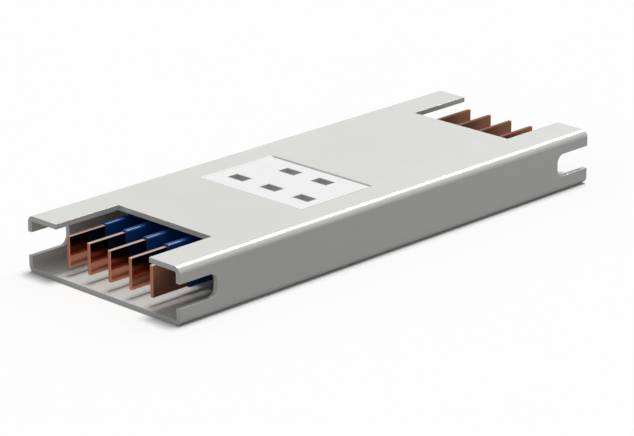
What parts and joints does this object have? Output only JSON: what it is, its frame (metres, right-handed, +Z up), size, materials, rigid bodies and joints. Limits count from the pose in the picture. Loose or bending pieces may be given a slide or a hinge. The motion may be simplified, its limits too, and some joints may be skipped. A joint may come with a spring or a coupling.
{
  "type": "busway section",
  "caption": "Flat busbar trunking section: a closed sheet housing with cut-open ends, sleeved copper bars on edge inside and a recessed plug-in outlet on top.",
  "frame": {"origin": "middle of the flat underside, where the section rests on the floor", "axes": "+X along the section, away from the end next to the outlet; +Y across the bars, from busbar 5 to busbar 1; +Z up, out of the top that holds the outlet"},
  "size_m": [0.4366, 0.16, 0.0437],
  "materials": {
    "housing_paint": "satin light grey paint",
    "bar_copper": null,
    "sleeve_blue": "smooth dark blue insulation",
    "support_plastic": "moulded, natural grey",
    "outlet_white": "smooth white moulding",
    "shutter_grey": "dark grey moulding"
  },
  "bodies": {
    "root": {"housing": "housing_paint", "busbar_1": "bar_copper", "busbar_2": "bar_copper", "busbar_3": "bar_copper", "busbar_4": "bar_copper", "busbar_5": "bar_copper", "insulation_sleeve_1": "sleeve_blue", "insulation_sleeve_2": "sleeve_blue", "insulation_sleeve_3": "sleeve_blue", "insulation_sleeve_4": "sleeve_blue", "insulation_sleeve_5": "sleeve_blue", "bar_support_1": "support_plastic", "bar_support_2": "support_plastic", "bar_support_3": "support_plastic", "outlet_plate": "outlet_white", "shutter_block": "shutter_grey"}
  },
  "joints": []
}
